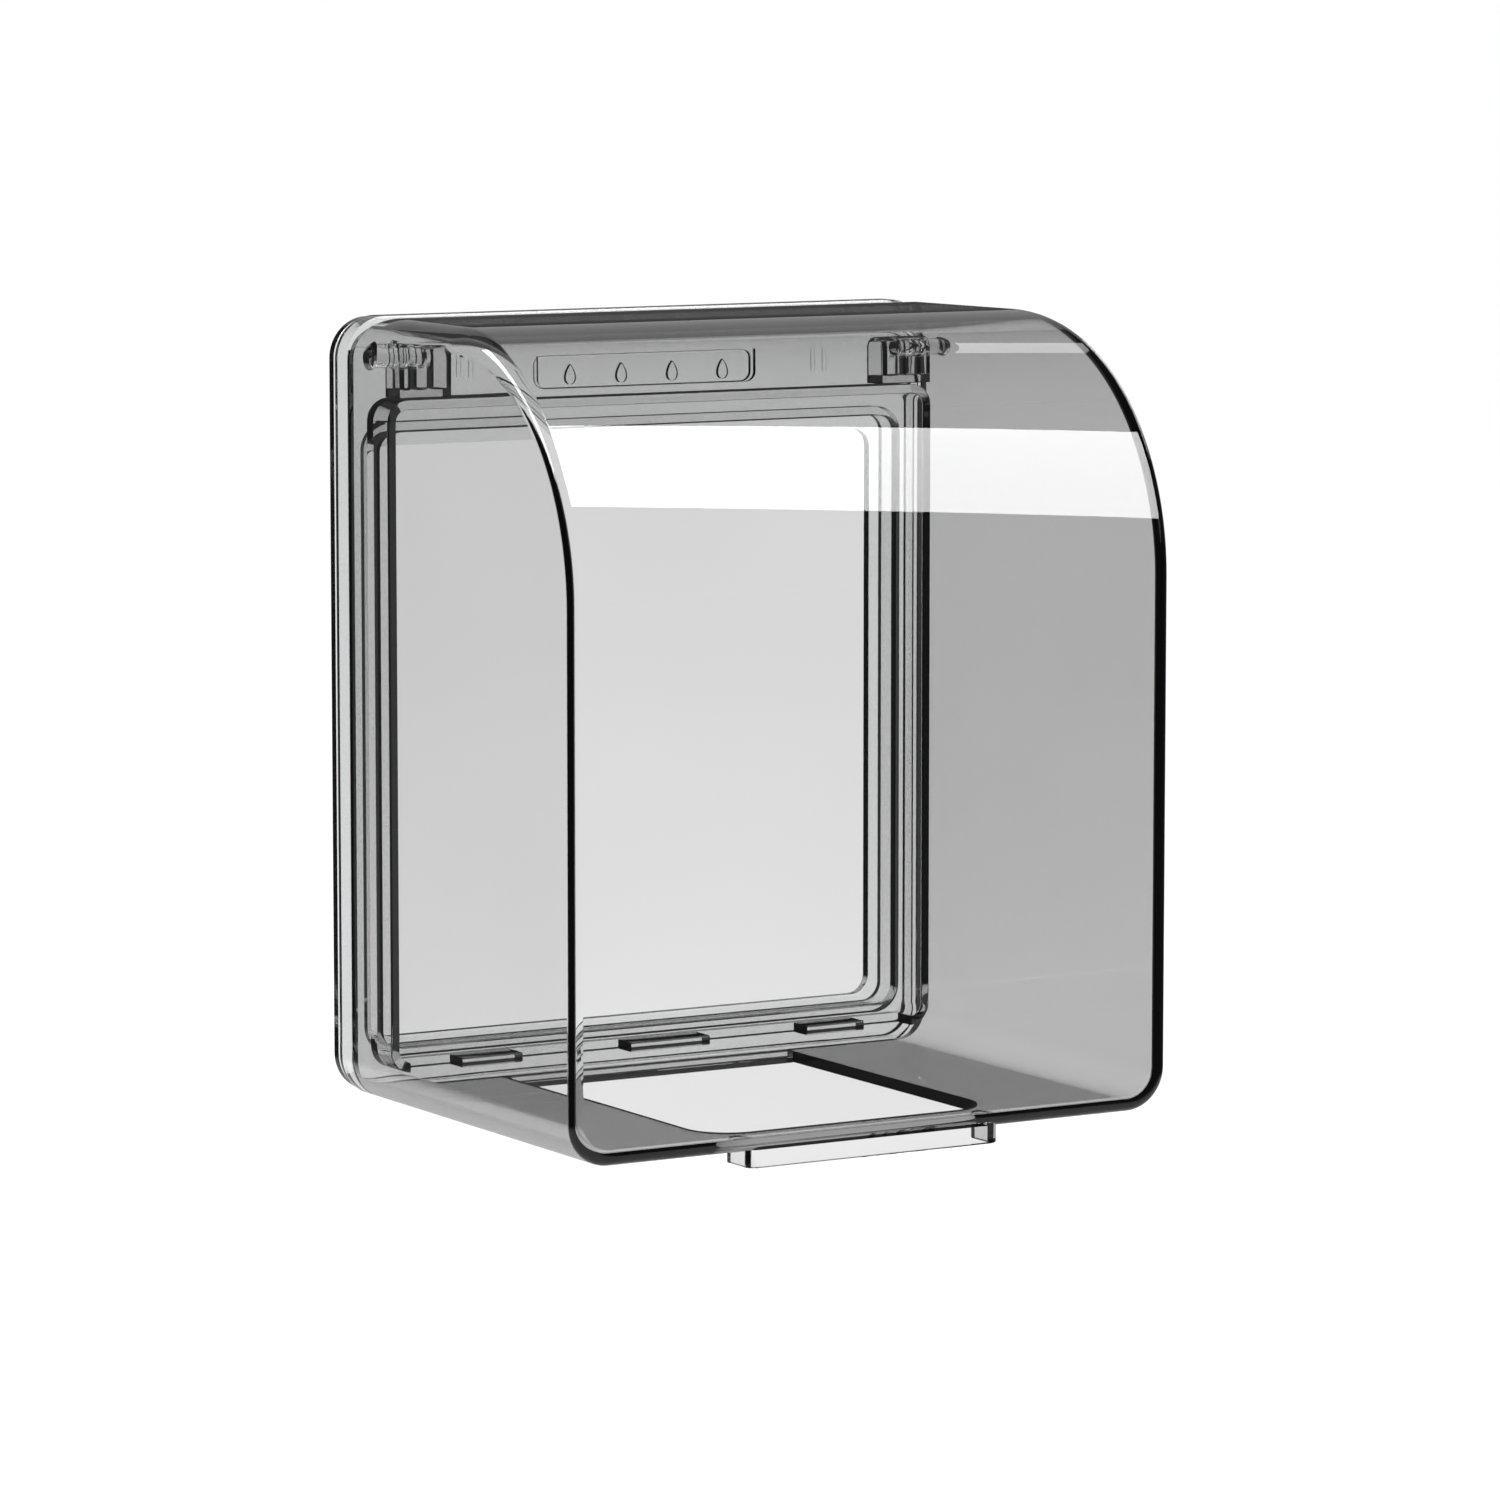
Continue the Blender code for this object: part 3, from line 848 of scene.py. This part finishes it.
class GeometryRow(Nodes):
    """Builds rows of small moulded features with Geometry Nodes."""

    def __init__(self, name: str) -> None:
        """Start a node tree.

        Args:
            name: Name of the tree and of its object.
        """
        super().__init__(bpy.data.node_groups.new(name, "GeometryNodeTree"))
        self.name = name
        self.tree.interface.new_socket("Geometry", in_out="OUTPUT", socket_type="NodeSocketGeometry")
        self.given = self.add("NodeGroupInput").outputs
        self.values: dict[str, float] = {}

    def sizes(self, **values: float) -> list[NodeSocket]:
        """Add named sizes to the tree.

        Args:
            values: Sizes in metres, or counts, by name.

        Returns:
            The sockets that give the sizes inside the tree.
        """
        for name, value in values.items():
            kind = "NodeSocketInt" if isinstance(value, int) else "NodeSocketFloat"
            self.tree.interface.new_socket(name, in_out="INPUT", socket_type=kind)
            self.values[name] = value
        return [self.given[name] for name in values]

    def vector(self, *values: object) -> NodeSocket:
        """Join three sockets or numbers into a vector and return its socket."""
        return self.add("ShaderNodeCombineXYZ", dict(enumerate(values))).outputs[0]

    def copies(self, shape: Node, count: object, pitch: object, start: NodeSocket) -> Node:
        """Put copies of a shape in a line along X.

        Args:
            shape: The node that makes the shape.
            count: How many.
            pitch: Distance between two copies.
            start: Place of the first copy.

        Returns:
            The node that makes the copies.
        """
        line = self.add("GeometryNodeMeshLine", {"Count": count, "Offset": self.vector(pitch, 0.0, 0.0),
                                                 "Start Location": start})
        return self.add("GeometryNodeInstanceOnPoints", {"Points": line.outputs[0],
                                                         "Instance": shape.outputs[0]})

    def finish(self, shape: Node, material: Material) -> Object:
        """Close the tree, run it and keep its result as a plain mesh.

        Args:
            shape: The node that makes the features.
            material: What the features are made of.

        Returns:
            The features as one mesh object.
        """
        real = self.add("GeometryNodeRealizeInstances", {0: shape.outputs[0]})
        dress = self.add("GeometryNodeSetMaterial", {"Geometry": real.outputs[0], "Material": material})
        self.add("NodeGroupOutput", {0: dress.outputs[0]})
        holder = place_object(self.name, bpy.data.meshes.new(self.name))
        modifier = holder.modifiers.new(self.name, "NODES")
        modifier.node_group = self.tree
        for item in self.tree.interface.items_tree:
            if item.in_out == "INPUT":
                modifier[item.identifier] = self.values[item.name]
        mesh = evaluated_mesh(holder)
        holder.modifiers.clear()
        holder.data = mesh
        weld(mesh)
        return holder


@dataclass
class TopStrip:
    """The top strip's small features: four teardrop studs and two pairs of ribs."""

    band_height: float = 0.0050
    recess_height: float = 0.0062
    recess_depth: float = 0.0008
    stud_count: int = 4
    stud_pitch: float = 0.0091
    stud_width: float = 0.0018
    stud_belly: float = 0.65
    stud_length: float = 0.0036
    stud_height: float = 0.0007
    stud_drop: float = 0.0006
    stud_points: int = 40
    rib_offset: float = 0.0310
    rib_pitch: float = 0.0021
    rib_width: float = 0.0007
    rib_length: float = 0.0040
    root: float = 0.0005

    def studs(self, material: Material) -> Object:
        """Build the row of teardrop studs.

        Args:
            material: What they are made of.

        Returns:
            The studs as one mesh object.
        """
        row = GeometryRow("stud_row")
        count, pitch, width, length, height, points = row.sizes(
            Count=self.stud_count, Pitch=self.stud_pitch, Width=self.stud_width, Length=self.stud_length,
            Height=self.stud_height + self.root, Points=self.stud_points)
        disc = row.add("GeometryNodeMeshCircle", {"Vertices": points}, fill_type="NGON")
        index = row.add("GeometryNodeInputIndex").outputs[0]
        turn = row.math("MULTIPLY", row.math("DIVIDE", index, points), 4 * QUARTER)
        pinch = row.math("SINE", row.math("MULTIPLY", turn, 0.5))
        across = row.math("MULTIPLY", row.math("MULTIPLY", row.math("SINE", turn), pinch),
                          row.math("MULTIPLY", width, self.stud_belly))
        along = row.math("MULTIPLY", row.math("COSINE", turn), row.math("MULTIPLY", length, 0.5))
        flat = row.add("GeometryNodeSetPosition", {"Geometry": disc.outputs[0],
                                                   "Position": row.vector(across, 0.0, along)}).outputs[0]
        out = row.vector(0.0, row.math("MULTIPLY", height, -1.0), 0.0)
        push = row.add("GeometryNodeExtrudeMesh", {"Mesh": flat, "Offset": out, "Offset Scale": 1.0},
                       mode="FACES")
        back = row.add("GeometryNodeFlipFaces", {"Mesh": flat})
        stud = row.add("GeometryNodeJoinGeometry", {0: push.outputs["Mesh"]})
        row.feed(stud, {0: back.outputs[0]})
        span = row.math("MULTIPLY", row.math("SUBTRACT", count, 1.0), row.math("MULTIPLY", pitch, -0.5))
        start = row.vector(span, SIZES.rim_front + self.recess_depth + self.root,
                           SIZES.top - self.band_height - self.recess_height / 2 - self.stud_drop)
        return row.finish(row.copies(stud, count, pitch, start), material)

    def ribs(self, material: Material) -> Object:
        """Build the two pairs of short ribs.

        Args:
            material: What they are made of.

        Returns:
            The ribs as one mesh object.
        """
        row = GeometryRow("strip_ribs")
        offset, pitch, width, length = row.sizes(Offset=self.rib_offset, Pitch=self.rib_pitch,
                                                 Width=self.rib_width, Length=self.rib_length)
        depth = SIZES.gap / 2 + self.root
        rib = row.add("GeometryNodeMeshCube", {"Size": row.vector(width, depth, length)})
        pair = row.copies(rib, 2, pitch, row.vector(row.math("MULTIPLY", pitch, -0.5), 0.0, 0.0))
        high = SIZES.top - self.band_height - self.rib_width
        start = row.vector(row.math("MULTIPLY", offset, -1.0), SIZES.rim_front - SIZES.gap / 2 + depth / 2,
                           high - self.rib_length / 2)
        return row.finish(row.copies(pair, 2, row.math("MULTIPLY", offset, 2.0), start), material)


@dataclass
class BackFrame:
    """The moulded frame with its rim, collar, ledge, sill, drain notches and top strip."""

    rim_wall: float = 0.0019
    collar_wall: float = 0.0015
    collar_corner: float = 0.0035
    ledge_rise: float = 0.0010
    ledge_side: float = 0.0010
    ledge_top: float = 0.0038
    ledge_bottom: float = 0.0012
    ledge_corner: float = 0.0030
    inner_rim_wall: float = 0.0014
    band_step: float = 0.0008
    recess_width: float = 0.0390
    recess_corner: float = 0.0018
    inner_notch: Point2 = (0.0071, 0.0179)
    outer_notch: Point2 = (0.0355, 0.0090)
    notch_depth: float = 0.0042
    sill_depth: float = 0.0028
    sill_thickness: float = 0.0018
    rounding: float = 0.0003
    rim_rounding: float = 0.0006

    def collar(self, inset: float) -> list[Point2]:
        """Draw the collar's outline, moved inwards by an inset."""
        side = SIZES.lid_wall + SIZES.collar_clearance
        return cover_ring(side + inset, SIZES.collar_drop + inset, SIZES.collar_rise + inset,
                          self.collar_corner - inset)

    def way(self, wall: float) -> list[Point2]:
        """Draw the way through the frame.

        Args:
            wall: How far it is moved outwards.

        Returns:
            The closed outline.
        """
        side = SIZES.lid_wall + SIZES.collar_clearance + self.collar_wall - wall
        drop = self.collar_wall - wall
        return cover_ring(side + self.ledge_side, SIZES.collar_drop + drop + self.ledge_top,
                          SIZES.collar_rise + drop + self.ledge_bottom, self.ledge_corner + wall)

    def notches(self) -> list[Object]:
        """Make the cutters of the drain notches.

        Returns:
            The cutters, from the inner pair to the outer one.
        """
        low, front = SIZES.bottom + SIZES.collar_rise, SIZES.collar_front
        cutters = []
        for number, (start, length) in enumerate((self.inner_notch, self.outer_notch)):
            for side in Side:
                near, far = sorted((side.value * start, side.value * (start + length)))
                cutters.append(block(f"notch_{number}_{side.label()}",
                                     (near, front - SIZES.overrun, low - SIZES.overrun),
                                     (far, front + self.notch_depth, low + self.collar_wall + SIZES.gap)))
        return cutters

    def recess(self, low: float, high: float) -> list[Point2]:
        """Draw the recess of the top strip between two heights."""
        return rounded_box(-self.recess_width / 2, self.recess_width / 2, low, high, self.recess_corner)

    def strip_cutters(self, strip: TopStrip) -> list[Object]:
        """Make the cutters of the stepped band and of the recess.

        Args:
            strip: The top strip's sizes.

        Returns:
            The cutters.
        """
        band_low, reach = SIZES.top - strip.band_height, SIZES.half + SIZES.overrun
        band = block("top_band", (-reach, SIZES.rim_front - SIZES.overrun, band_low),
                     (reach, SIZES.rim_front + self.band_step, SIZES.top + SIZES.overrun))
        ring = self.recess(band_low - strip.recess_height, band_low + 2 * self.recess_corner)
        return [band, slab("recess", (ring,), SIZES.rim_front + strip.recess_depth,
                           SIZES.rim_front - SIZES.overrun)]

    def pad(self, strip: TopStrip) -> Object:
        """Make the pad behind the recess, which keeps the strip's wall even.

        Args:
            strip: The top strip's sizes.

        Returns:
            The pad.
        """
        high = SIZES.top - strip.band_height
        rounding = 2 * self.rounding
        return slab("strip_pad", (self.recess(high - strip.recess_height, high),),
                    SIZES.plate_back + strip.recess_depth, SIZES.plate_back - rounding, rounding)

    def build(self, strip: TopStrip) -> Object:
        """Build the frame.

        Args:
            strip: The top strip, whose studs and ribs stand on the frame.

        Returns:
            The frame.
        """
        back, plate, rim = SIZES.frame_back, SIZES.plate_back, SIZES.rim_front
        body = slab("cover_frame", (cover_ring(0.0, 0.0, 0.0, SIZES.corner),), back, rim,
                    self.rim_rounding)
        collar = slab("collar", (self.collar(0.0), self.collar(self.collar_wall)), plate - SIZES.gap,
                      SIZES.collar_front, self.rounding)
        ledge = slab("ledge", (self.collar(self.collar_wall / 2),), plate - SIZES.gap,
                     rim - self.ledge_rise)
        half = SIZES.cut_width / 2 - SIZES.gap
        sill = block("cable_sill", (-half, rim - self.sill_depth, SIZES.bottom),
                     (half, plate, SIZES.bottom + self.sill_thickness))
        way = slab("way_through", (self.way(0.0),), back + SIZES.overrun,
                   SIZES.collar_front - SIZES.overrun)
        wall = self.rim_wall
        channel = slab("channel", (cover_ring(wall, wall, wall, SIZES.corner - wall),
                                   self.way(self.inner_rim_wall)), back + SIZES.overrun, plate)
        steps = [(collar, Join.ADD), (ledge, Join.ADD), (sill, Join.ADD), (way, Join.CUT),
                 (channel, Join.CUT), (self.pad(strip), Join.ADD)]
        steps += [(cutter, Join.CUT) for cutter in self.notches() + self.strip_cutters(strip)]
        plastic = bpy.data.materials.new("strip_plastic")
        steps += [(strip.studs(plastic), Join.ADD), (strip.ribs(plastic), Join.ADD)]
        return hand_over(carve(body, steps), "back_frame", PieceKind.FRAME, "base")


@dataclass
class Gasket:
    """The flat silicone ring between the frame and the wall."""

    inset: float = 0.0003
    side: float = 0.0082
    bottom: float = 0.0086
    corner: float = 0.0030
    rounding: float = 0.0003
    sharp: float = 50.0

    def build(self) -> Object:
        """Build the gasket.

        Returns:
            The gasket.
        """
        outer = cover_ring(self.inset, self.inset, self.inset, SIZES.corner - self.inset)
        inner = cover_ring(self.side, SIZES.gasket_top, self.bottom, self.corner)
        gasket = slab("gasket_ring", (outer, inner), 0.0, -SIZES.gasket_thickness, self.rounding)
        return hand_over(gasket, "wall_gasket", PieceKind.GASKET, "base", self.sharp)


@dataclass
class Hinge:
    """The slotted brackets on the collar and the pins that the lid turns on."""

    head: float = 0.0024
    head_steps: int = 24
    side_gap: float = 0.0036
    foot: float = 0.0013
    bar: float = 0.0010
    posts: tuple[float, ...] = (0.0008, 0.0011, 0.0012, 0.0009)
    spaces: tuple[float, ...] = (0.0010, 0.0017, 0.0022)
    slot_steps: int = 3
    pin_length: float = 0.0096
    pin_nose: float = 0.0012
    pin_sides: int = 48
    nose_steps: int = 8
    pin_sharp: float = 40.0
    rounding: float = 0.0002

    def outline(self) -> list[Point2]:
        """Draw a bracket seen from the side: a head round the pin on a straight foot.

        Returns:
            The closed outline.
        """
        foot, y = SIZES.collar_top + SIZES.gap, SIZES.axis_y
        head = arc((y, SIZES.axis_z), self.head, 0.0, 2 * QUARTER, self.head_steps)
        return [(y - self.head, foot), (y + self.head, foot)] + head

    def bracket(self, side: Side) -> Object:
        """Build one slotted bracket.

        Args:
            side: Which of the two.

        Returns:
            The bracket.
        """
        name, turn = side.label(), side.value
        outer = SIZES.half - SIZES.lid_wall - self.side_gap
        inner = outer - sum(self.posts) - sum(self.spaces)
        low, high = sorted((turn * outer, turn * inner))
        bracket = prism(f"bracket_{name}", (self.outline(),), Facing.SIDE, low, high, self.rounding)
        steps = []
        edge, reach = outer, self.head + SIZES.overrun
        for number, (post, space) in enumerate(zip(self.posts, self.spaces)):
            edge -= post
            near, far = sorted((turn * edge, turn * (edge - space)))
            edge -= space
            ring = rounded_box(near, far, SIZES.collar_top + SIZES.gap + self.foot,
                               SIZES.axis_z + self.head - self.bar, self.rounding, self.slot_steps)
            steps.append((slab(f"slot_{name}_{number}", (ring,), SIZES.axis_y - reach, SIZES.axis_y + reach),
                          Join.CUT))
        bore_end = outer - self.pin_length + self.side_gap + SIZES.pin_entry - SIZES.gap
        steps.append((cross_rod(f"bore_{name}", SIZES.bore, turn * (outer + SIZES.overrun),
                                turn * bore_end), Join.CUT))
        return hand_over(carve(bracket, steps), f"hinge_bracket_{name}", PieceKind.BRACKET, "base")

    def pin(self, side: Side) -> Object:
        """Build one pin with a rounded nose and a chamfered inner end.

        Args:
            side: Which of the two.

        Returns:
            The pin.
        """
        radius, nose, chamfer = SIZES.pin_radius, self.pin_nose, self.rounding
        reach = SIZES.half - SIZES.lid_wall + SIZES.pin_entry
        start = reach - self.pin_length
        end = arc((reach - nose, radius - nose), nose, QUARTER, 0.0, self.nose_steps)
        profile = [(start, 0.0), (start, radius - chamfer), (start + chamfer, radius), *end, (reach, 0.0)]
        work = bmesh.new()
        turns = [4 * QUARTER * i / self.pin_sides for i in range(self.pin_sides)]
        rows = [[work.verts.new((side.value * x, SIZES.axis_y + r * math.cos(t),
                                 SIZES.axis_z + r * math.sin(t))) for t in turns] for x, r in profile]
        for row, following in zip(rows, rows[1:]):
            for i in range(self.pin_sides):
                j = (i + 1) % self.pin_sides
                work.faces.new((row[i], row[j], following[j], following[i]))
        pin = solid_object(f"pin_{side.label()}", work)
        return hand_over(pin, f"hinge_pin_{side.label()}", PieceKind.PIN, "base", self.pin_sharp)


# Stage, light and camera


@dataclass(frozen=True)
class Panel:
    """A four-cornered softbox: its name, how bright it is and its corners in order."""

    name: str
    radiance: float
    corners: tuple[Point3, ...]


@dataclass
class Studio:
    """The pale floor, the white surround, the softboxes and the camera.

    Attributes:
        floor_grey: How much of the lamps' light the floor returns.
        floor_glow: How bright the floor looks without them.
        close_glow: Least brightness of the floor in reflections, close below the cover.
        close_reach: Distance at which that brightness has ended.
        surround: How bright the surround lights matt surfaces.
        mirrored: Share of the surround that is left after each reflection.
        panels: The softboxes that the plastic mirrors.
        tilt: The camera's angle from straight down, in degrees.
        heading: Its turn from +Y, in degrees.
    """

    floor_height: float = -0.26
    floor_half: float = 4.0
    floor_grey: float = 0.3
    floor_glow: float = 0.74
    close_glow: float = 0.6
    close_reach: float = 0.8
    surround: float = 0.85
    mirrored: float = 0.07
    panels: tuple[Panel, ...] = (
        Panel("band_softbox", 12.0, ((0.4993, -0.1031, 1.3180), (0.7840, -0.6816, 0.6709),
                                     (0.9349, -1.2044, 0.1504), (0.3485, -0.7356, 0.8895))),
        Panel("roll_softbox", 2.4, ((0.830, 0.663, 1.050), (0.878, 0.574, 1.087),
                                    (0.877, 0.413, 1.164), (0.828, 0.498, 1.143))),
        Panel("edge_softbox", 12.0, ((-0.350, 0.900, 1.105), (-1.115, -0.480, 0.945),
                                     (-1.355, -0.360, 0.735), (-0.590, 1.020, 0.895))),
        Panel("side_softbox", 5.0, ((1.175, 0.980, 0.440), (1.560, 0.090, 0.430),
                                    (1.520, 0.100, 0.590), (1.135, 0.950, 0.600))),
        Panel("rear_softbox", 0.45, ((0.15, 1.70, 0.25), (1.55, 0.90, 0.25),
                                     (1.40, 0.75, 1.05), (0.05, 1.45, 1.05))),
    )
    fill_place: Point3 = (-1.2, -1.1, 0.9)
    fill_target: Point3 = (0.0, -0.04, -0.05)
    fill_size: float = 0.9
    fill_radiance: float = 0.8
    focal: float = 162.2
    sensor: float = 36.0
    clip: Point2 = (0.01, 60.0)
    location: Point3 = (-0.5231, -0.9200, 0.0677)
    tilt: float = 83.123
    heading: float = -30.70

    def seen_level(self, nodes: Nodes, least: NodeSocket | None = None) -> NodeSocket:
        """Return how bright the surround looks: white where it is seen, dimmer at each reflection.

        Args:
            nodes: The nodes of the material or world that shows it.
            least: What a reflection keeps at least, or None.

        Returns:
            The socket of the level.
        """
        path = nodes.add("ShaderNodeLightPath").outputs
        seen = path["Is Camera Ray"]
        for name in ("Is Glossy Ray", "Is Transmission Ray"):
            seen = nodes.math("MAXIMUM", seen, path[name])
        kept = nodes.math("POWER", self.mirrored, path["Glossy Depth"])
        if least is not None:
            kept = nodes.math("MAXIMUM", kept, least)
        return nodes.math("MULTIPLY", seen, kept)

    def close_floor(self, nodes: Nodes) -> NodeSocket:
        """Return how bright reflections show the floor: only close below the cover.

        Args:
            nodes: The nodes of the floor's material.

        Returns:
            The socket of the brightness.
        """
        place = nodes.add("ShaderNodeTexCoord").outputs["Object"]
        flat = nodes.add("ShaderNodeVectorMath", {0: place, 1: (1.0, 1.0, 0.0)}, operation="MULTIPLY")
        reach = nodes.add("ShaderNodeVectorMath", {0: flat.outputs["Vector"]}, operation="LENGTH")
        falloff = nodes.add("ShaderNodeMapRange", {
            "Value": reach.outputs["Value"], "From Min": self.close_reach / 2, "From Max": self.close_reach,
            "To Min": self.close_glow, "To Max": 0.0}, interpolation_type="SMOOTHSTEP")
        return falloff.outputs["Result"]

    def world(self) -> None:
        """Make the surround: white where it is seen, softer where it lights."""
        world = bpy.data.worlds.new("pale_surround")
        bpy.context.scene.world = world
        world.use_nodes = True
        nodes = Nodes(world.node_tree)
        diffuse = nodes.add("ShaderNodeLightPath").outputs["Is Diffuse Ray"]
        matt = nodes.math("MULTIPLY", diffuse, self.surround)
        nodes.feed(world.node_tree.nodes["Background"], {
            "Color": (1.0, 1.0, 1.0, 1.0), "Strength": nodes.math("MAXIMUM", self.seen_level(nodes), matt)})

    def card(self, name: str, corners: Sequence[Point3]) -> tuple[Object, Nodes]:
        """Make a four-cornered card with a bare material.

        Args:
            name: Name of the card and of its material.
            corners: Its corners in order.

        Returns:
            The card and the nodes of its material.
        """
        mesh = bpy.data.meshes.new(name)
        mesh.from_pydata(corners, [], [(0, 1, 2, 3)])
        card = place_object(name, mesh)
        material = bpy.data.materials.new(name)
        material.use_nodes = True
        material.node_tree.nodes.remove(material.node_tree.nodes["Principled BSDF"])
        mesh.materials.append(material)
        return card, Nodes(material.node_tree)

    def floor(self) -> None:
        """Make the floor, which looks white and keeps the soft shadow."""
        corners = [(x * self.floor_half, y * self.floor_half, self.floor_height)
                   for x, y in ((-1, -1), (1, -1), (1, 1), (-1, 1))]
        floor, nodes = self.card("pale_floor", corners)
        seen = self.seen_level(nodes, self.close_floor(nodes))
        matt = nodes.add("ShaderNodeBsdfDiffuse", {"Color": nodes.math("MULTIPLY", seen, self.floor_grey)})
        glow = nodes.add("ShaderNodeEmission", {"Strength": nodes.math("MULTIPLY", seen, self.floor_glow)})
        both = nodes.add("ShaderNodeAddShader", {0: matt.outputs[0], 1: glow.outputs[0]})
        nodes.feed(nodes.tree.nodes["Material Output"], {"Surface": both.outputs[0]})

    def panel(self, softbox: Panel) -> None:
        """Place one softbox that the plastic mirrors.

        Args:
            softbox: Its name, strength and corners.
        """
        panel, nodes = self.card(softbox.name, softbox.corners)
        glow = nodes.add("ShaderNodeEmission", {"Strength": softbox.radiance})
        nodes.feed(nodes.tree.nodes["Material Output"], {"Surface": glow.outputs[0]})
        panel.visible_camera = False
        panel.visible_transmission = False
        panel.visible_shadow = False

    def fill(self) -> None:
        """Place the square lamp that lights the cover and is not mirrored."""
        data = bpy.data.lights.new("left_softbox", "AREA")
        data.shape = "RECTANGLE"
        data.size = data.size_y = self.fill_size
        data.energy = self.fill_radiance * math.pi * self.fill_size * self.fill_size
        lamp = bpy.data.objects.new("left_softbox", data)
        bpy.context.scene.collection.objects.link(lamp)
        away = (Vector(self.fill_place) - Vector(self.fill_target)).normalized()
        long_way = Vector((0.0, 0.0, 1.0)).cross(away).normalized()
        turn = Matrix((long_way, away.cross(long_way), away)).transposed().to_4x4()
        lamp.matrix_world = Matrix.Translation(self.fill_place) @ turn
        lamp.visible_camera = False
        lamp.visible_transmission = False
        lamp.visible_glossy = False

    def camera(self) -> None:
        """Make the camera at the photograph's viewing angle."""
        data = bpy.data.cameras.new("view")
        data.lens = self.focal
        data.sensor_width = self.sensor
        data.clip_start, data.clip_end = self.clip
        camera = bpy.data.objects.new("view", data)
        bpy.context.scene.collection.objects.link(camera)
        camera.location = self.location
        camera.rotation_euler = (math.radians(self.tilt), 0.0, math.radians(self.heading))
        bpy.context.scene.camera = camera

    def build(self) -> None:
        """Make the whole stage."""
        self.world()
        self.floor()
        for softbox in self.panels:
            self.panel(softbox)
        self.fill()
        self.camera()
        bpy.context.scene.view_settings.view_transform = "Standard"


def main() -> None:
    """Build the cover's pieces in order, then the stage."""
    logging.basicConfig(level=logging.INFO, format="%(message)s")
    hinge = Hinge()
    makers: list[tuple[str, Callable[[], object]]] = [
        ("gasket", Gasket().build),
        ("frame", partial(BackFrame().build, TopStrip())),
        ("right bracket", partial(hinge.bracket, Side.RIGHT)),
        ("right pin", partial(hinge.pin, Side.RIGHT)),
        ("left bracket", partial(hinge.bracket, Side.LEFT)),
        ("left pin", partial(hinge.pin, Side.LEFT)),
        ("lid", Lid().build),
        ("stage", Studio().build),
    ]
    for label, make in makers:
        make()
        LOG.info("made the %s", label)


if __name__ == "__main__":
    main()
